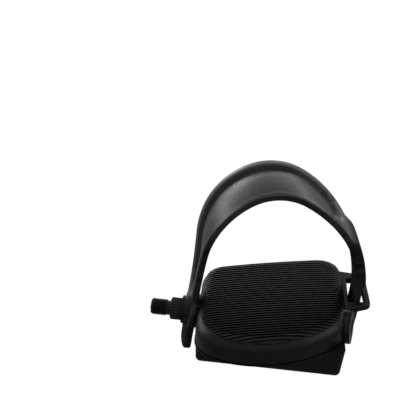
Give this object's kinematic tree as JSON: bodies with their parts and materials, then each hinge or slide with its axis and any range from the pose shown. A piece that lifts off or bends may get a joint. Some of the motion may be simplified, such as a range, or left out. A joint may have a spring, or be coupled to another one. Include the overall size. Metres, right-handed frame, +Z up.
{
  "type": "exercise bike pedal",
  "caption": "Left exercise bike pedal: ribbed foot plate with a weighted block below, threaded spindle and a moulded foot strap that hooks over a side loop.",
  "frame": {"origin": "on the spindle axis, at the face of the spindle collar that seats on the crank arm", "axes": "+X along the spindle away from the crank, +Y towards the heel, +Z up"},
  "size_m": [0.1646, 0.1239, 0.1421],
  "materials": {
    "moulding": "satin black moulded plastic",
    "strap": "smooth dark grey moulded strap",
    "seal": "matte",
    "dark_steel": "blackened",
    "bright_steel": "bright",
    "weight": "plain bar"
  },
  "bodies": {
    "spindle": {"spindle": "dark_steel", "outer_cone": "bright_steel", "tab_washer": "bright_steel", "lock_nut": "bright_steel"},
    "pedal": {"pedal_body": "moulding", "weight_housing": "moulding", "counterweight": "weight", "housing_screws": "bright_steel", "counterweight_screws": "bright_steel", "inner_cup": "bright_steel", "inner_balls": "bright_steel", "outer_cup": "bright_steel", "outer_balls": "bright_steel", "inner_seal": "seal", "dust_cap": "moulding", "strap": "strap"}
  },
  "joints": [
    {"name": "pedal_spin", "type": "hinge", "parent": "spindle", "child": "pedal", "pos_m": [0, 0, 0], "axis": [1, 0, 0], "continuous": true}
  ]
}
